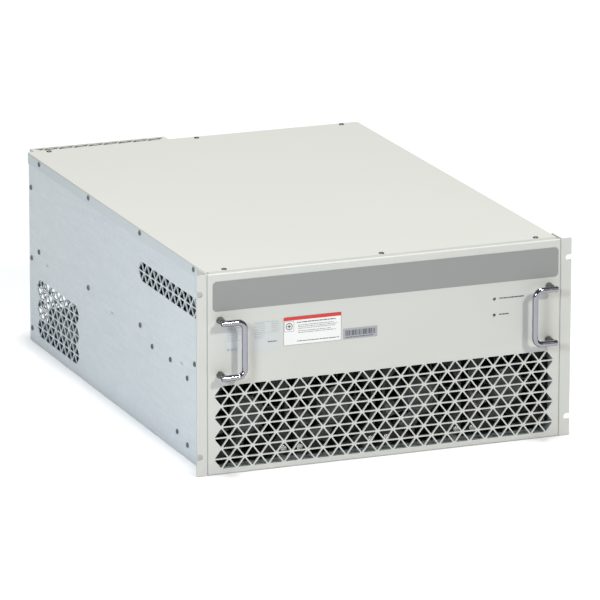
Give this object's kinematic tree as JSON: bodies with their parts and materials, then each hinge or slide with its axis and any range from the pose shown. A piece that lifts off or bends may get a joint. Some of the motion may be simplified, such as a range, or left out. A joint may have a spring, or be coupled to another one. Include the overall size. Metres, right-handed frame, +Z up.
{
  "type": "rack power module",
  "caption": "Fan-cooled rack power-electronics drawer with a triangle intake grille, folding rod handles, run and fault indicators, rack ears and rear exhaust.",
  "frame": {"origin": "on the underside plane, under the middle of the unit's overall box", "axes": "+X to the right seen from the front, +Y from the front panel to the rear, +Z up"},
  "size_m": [0.469, 0.663, 0.2412],
  "materials": {
    "panel_paint": "satin",
    "cover_paint": "satin",
    "zinc_sheet": "satin",
    "band_print": "matte",
    "label_white": "matte",
    "label_silver": "satin",
    "label_clear": "matte",
    "chrome": "polished",
    "dark_steel": "satin",
    "screw_steel": "satin",
    "fan_plastic": "matte",
    "rotor_plastic": "satin",
    "lens_dark": "gloss",
    "board_green": "satin",
    "aluminium": "satin",
    "module_black": "matte",
    "capacitor_sleeve": "gloss",
    "copper": "satin",
    "core_steel": "satin",
    "potting_black": "matte",
    "contactor_grey": "matte",
    "ceramic": "matte",
    "sensor_blue": "satin",
    "terminal_grey": "matte",
    "connector_green": "satin"
  },
  "bodies": {
    "chassis": {"ac_busbars": "copper", "aux_supply": "aluminium", "base_tray": "zinc_sheet", "capacitor_board": "board_green", "choke_cores": "core_steel", "choke_windings": "copper", "comm_sockets": "terminal_grey", "contactor": "contactor_grey", "control_board": "board_green", "cover_screws": "dark_steel", "current_sensors": "sensor_blue", "dc_busbars": "copper", "dc_capacitors": "capacitor_sleeve", "ear_screws": "dark_steel", "fan_frame_1": "fan_plastic", "fan_frame_2": "fan_plastic", "fan_frame_3": "fan_plastic", "fan_frame_4": "fan_plastic", "fan_plate": "zinc_sheet", "fan_screws": "screw_steel", "fault_lens": "lens_dark", "filter_capacitors": "potting_black", "front_band": "band_print", "front_panel": "panel_paint", "front_rail": "zinc_sheet", "gate_driver_board": "board_green", "ground_stud": "screw_steel", "handle_pins": "screw_steel", "handle_posts_left": "dark_steel", "handle_posts_right": "dark_steel", "handle_screws": "screw_steel", "heat_sink": "aluminium", "led_board": "board_green", "line_fuses": "ceramic", "mid_deck": "zinc_sheet", "notice_label": "label_white", "power_module_1": "module_black", "power_module_2": "module_black", "power_module_3": "module_black", "rack_ear_left": "panel_paint", "rack_ear_right": "panel_paint", "rating_label": "label_clear", "rear_panel": "zinc_sheet", "rear_screws": "dark_steel", "run_lens": "lens_dark", "serial_label": "label_silver", "side_panel_left": "zinc_sheet", "side_panel_right": "zinc_sheet", "side_screws": "dark_steel", "signal_connector": "connector_green", "standoffs": "screw_steel", "terminal_block": "terminal_grey", "terminal_hood": "cover_paint", "top_cover": "cover_paint"},
    "handle_left": {"handle_left": "chrome"},
    "handle_right": {"handle_right": "chrome"},
    "fan_1": {"fan_rotor_1": "rotor_plastic"},
    "fan_2": {"fan_rotor_2": "rotor_plastic"},
    "fan_3": {"fan_rotor_3": "rotor_plastic"},
    "fan_4": {"fan_rotor_4": "rotor_plastic"}
  },
  "joints": [
    {"name": "fan_1_spin", "type": "hinge", "parent": "chassis", "child": "fan_1", "pos_m": [-0.1635, -0.2715, 0.06], "axis": [0, 1, 0], "continuous": true},
    {"name": "fan_2_spin", "type": "hinge", "parent": "chassis", "child": "fan_2", "pos_m": [-0.0545, -0.2715, 0.06], "axis": [0, 1, 0], "continuous": true},
    {"name": "fan_3_spin", "type": "hinge", "parent": "chassis", "child": "fan_3", "pos_m": [0.0545, -0.2715, 0.06], "axis": [0, 1, 0], "continuous": true},
    {"name": "fan_4_spin", "type": "hinge", "parent": "chassis", "child": "fan_4", "pos_m": [0.1635, -0.2715, 0.06], "axis": [0, 1, 0], "continuous": true},
    {"name": "handle_left_fold", "type": "hinge", "parent": "chassis", "child": "handle_left", "pos_m": [-0.206, -0.328, 0.152], "axis": [0, 0, -1], "range_deg": [0, 90]},
    {"name": "handle_right_fold", "type": "hinge", "parent": "chassis", "child": "handle_right", "pos_m": [0.206, -0.328, 0.152], "axis": [0, 0, 1], "range_deg": [0, 90]}
  ]
}
